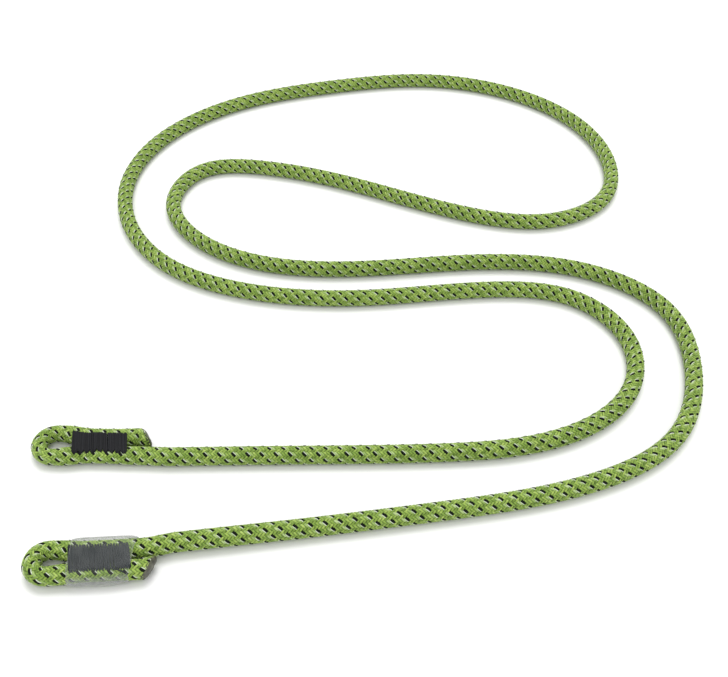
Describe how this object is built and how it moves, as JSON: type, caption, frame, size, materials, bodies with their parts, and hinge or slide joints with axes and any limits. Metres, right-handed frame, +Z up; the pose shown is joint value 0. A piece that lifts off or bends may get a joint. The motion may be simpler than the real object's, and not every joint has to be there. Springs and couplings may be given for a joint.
{
  "type": "eye-to-eye accessory cord",
  "caption": "Round kernmantle accessory cord with a small sewn eye at each end, lying loose in a double S; each stiff eye lifts at its neck.",
  "frame": {"origin": "centre of the bounding box, on the floor that the cord lies on", "axes": "+Z up from the floor; +X to the right, away from the eyes' loops; +Y across the bends, from the sewn eyes to the far bend"},
  "size_m": [0.2964, 0.3755, 0.0092],
  "materials": {
    "sheath_green": "braided green polyester or polyamide with black and white tracer yarns",
    "core_white": "undyed parallel core yarns",
    "thread_black": "dense black sewing thread",
    "thread_grey": "dark grey sewing thread",
    "sealed_brown": "melted and hardened cord end",
    "clear_film": "hazy clear shrink sleeve"
  },
  "bodies": {
    "free_cord": {"cord_sheath": "sheath_green", "cord_core": "core_white"},
    "eye_a": {"eye_a_sheath": "sheath_green", "eye_a_core": "core_white", "eye_a_sealed_tip": "sealed_brown", "eye_a_needle_thread": "thread_black", "eye_a_bobbin_thread": "thread_black"},
    "eye_b": {"eye_b_sheath": "sheath_green", "eye_b_core": "core_white", "eye_b_sealed_tip": "sealed_brown", "eye_b_needle_thread": "thread_grey", "eye_b_bobbin_thread": "thread_grey", "eye_b_sleeve": "clear_film"}
  },
  "joints": [
    {"name": "eye_a_lift", "type": "hinge", "parent": "free_cord", "child": "eye_a", "pos_m": [-0.0883, -0.126, 0.004], "axis": [0.0192, 0.9998, 0], "range_deg": [0, 60]},
    {"name": "eye_b_lift", "type": "hinge", "parent": "free_cord", "child": "eye_b", "pos_m": [-0.0781, -0.1689, 0.0046], "axis": [-0.0593, 0.9982, 0], "range_deg": [0, 60]}
  ]
}
